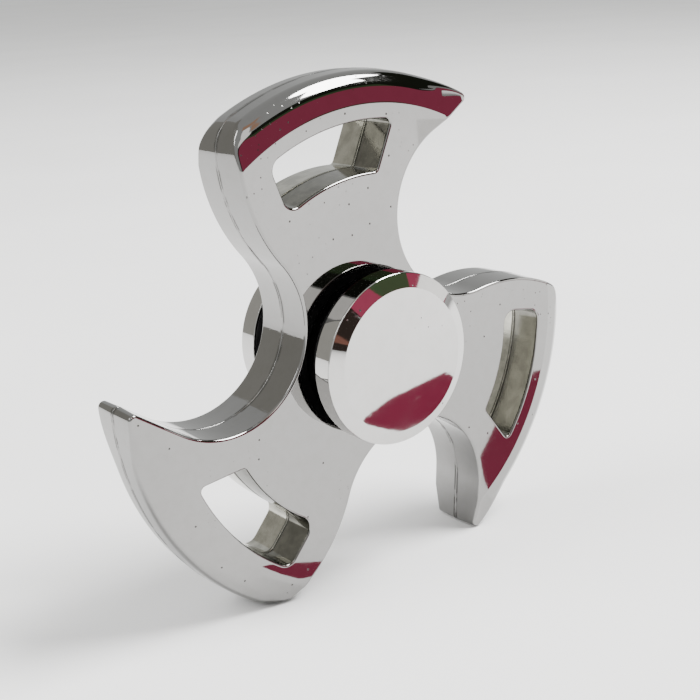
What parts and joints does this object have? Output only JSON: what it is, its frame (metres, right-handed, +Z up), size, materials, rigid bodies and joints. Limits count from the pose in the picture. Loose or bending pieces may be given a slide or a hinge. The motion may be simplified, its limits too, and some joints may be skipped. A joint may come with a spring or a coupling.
{
  "type": "fidget spinner",
  "caption": "Palm-sized fidget spinner of chromed plastic with slotted axe-shaped blades round a ball bearing, and round finger caps.",
  "frame": {"origin": "centre of the ball bearing, where the spin axis crosses the joint between the two shells", "axes": "+Y along the spin axis towards the rear cap, +Z up as the spinner stands on a blade tip and a heel, +X to the right seen from the front"},
  "size_m": [0.0749, 0.022, 0.0697],
  "materials": {
    "chromed_plastic": "bright electroplated chrome on plastic, with fine ripples, pits and scuffs",
    "dark_core": "moulded black plastic",
    "bearing_steel": "ground bearing steel",
    "ball_steel": "polished bearing balls",
    "cage_steel": "pressed sheet steel",
    "seal_rubber": "black nitrile rubber",
    "weight_steel": "turned steel slug"
  },
  "bodies": {
    "hub": {"bearing_inner_ring": "bearing_steel", "front_cap": "chromed_plastic", "rear_cap": "chromed_plastic", "front_cap_core": "dark_core", "rear_cap_core": "dark_core"},
    "rotor": {"front_shell": "chromed_plastic", "rear_shell": "chromed_plastic", "arm_weight_1": "weight_steel", "arm_weight_2": "weight_steel", "arm_weight_3": "weight_steel", "bearing_outer_ring": "bearing_steel", "front_seal": "seal_rubber", "rear_seal": "seal_rubber"},
    "cage": {"cage_front": "cage_steel", "cage_rear": "cage_steel", "cage_rivets": "cage_steel"},
    "ball_body_1": {"ball_1": "ball_steel"},
    "ball_body_2": {"ball_2": "ball_steel"},
    "ball_body_3": {"ball_3": "ball_steel"},
    "ball_body_4": {"ball_4": "ball_steel"},
    "ball_body_5": {"ball_5": "ball_steel"},
    "ball_body_6": {"ball_6": "ball_steel"},
    "ball_body_7": {"ball_7": "ball_steel"}
  },
  "joints": [
    {"name": "spin", "type": "hinge", "parent": "hub", "child": "rotor", "pos_m": [0, 0, 0], "axis": [0, 1, 0], "continuous": true},
    {"name": "cage_spin", "type": "hinge", "parent": "hub", "child": "cage", "pos_m": [0, 0, 0], "axis": [0, 1, 0], "continuous": true},
    {"name": "ball_1_spin", "type": "hinge", "parent": "cage", "child": "ball_body_1", "pos_m": [0.0075, 0, 0], "axis": [0, 1, 0], "continuous": true},
    {"name": "ball_2_spin", "type": "hinge", "parent": "cage", "child": "ball_body_2", "pos_m": [0.00468, 0, 0.00586], "axis": [0, 1, 0], "continuous": true},
    {"name": "ball_3_spin", "type": "hinge", "parent": "cage", "child": "ball_body_3", "pos_m": [-0.00167, 0, 0.00731], "axis": [0, 1, 0], "continuous": true},
    {"name": "ball_4_spin", "type": "hinge", "parent": "cage", "child": "ball_body_4", "pos_m": [-0.00676, 0, 0.00325], "axis": [0, 1, 0], "continuous": true},
    {"name": "ball_5_spin", "type": "hinge", "parent": "cage", "child": "ball_body_5", "pos_m": [-0.00676, 0, -0.00325], "axis": [0, 1, 0], "continuous": true},
    {"name": "ball_6_spin", "type": "hinge", "parent": "cage", "child": "ball_body_6", "pos_m": [-0.00167, 0, -0.00731], "axis": [0, 1, 0], "continuous": true},
    {"name": "ball_7_spin", "type": "hinge", "parent": "cage", "child": "ball_body_7", "pos_m": [0.00468, 0, -0.00586], "axis": [0, 1, 0], "continuous": true}
  ],
  "couplings": [
    {"joint": "cage_spin", "follows": "spin", "ratio": 0.6323},
    {"joint": "ball_1_spin", "follows": "spin", "ratio": 1.7573},
    {"joint": "ball_2_spin", "follows": "spin", "ratio": 1.7573},
    {"joint": "ball_3_spin", "follows": "spin", "ratio": 1.7573},
    {"joint": "ball_4_spin", "follows": "spin", "ratio": 1.7573},
    {"joint": "ball_5_spin", "follows": "spin", "ratio": 1.7573},
    {"joint": "ball_6_spin", "follows": "spin", "ratio": 1.7573},
    {"joint": "ball_7_spin", "follows": "spin", "ratio": 1.7573}
  ]
}
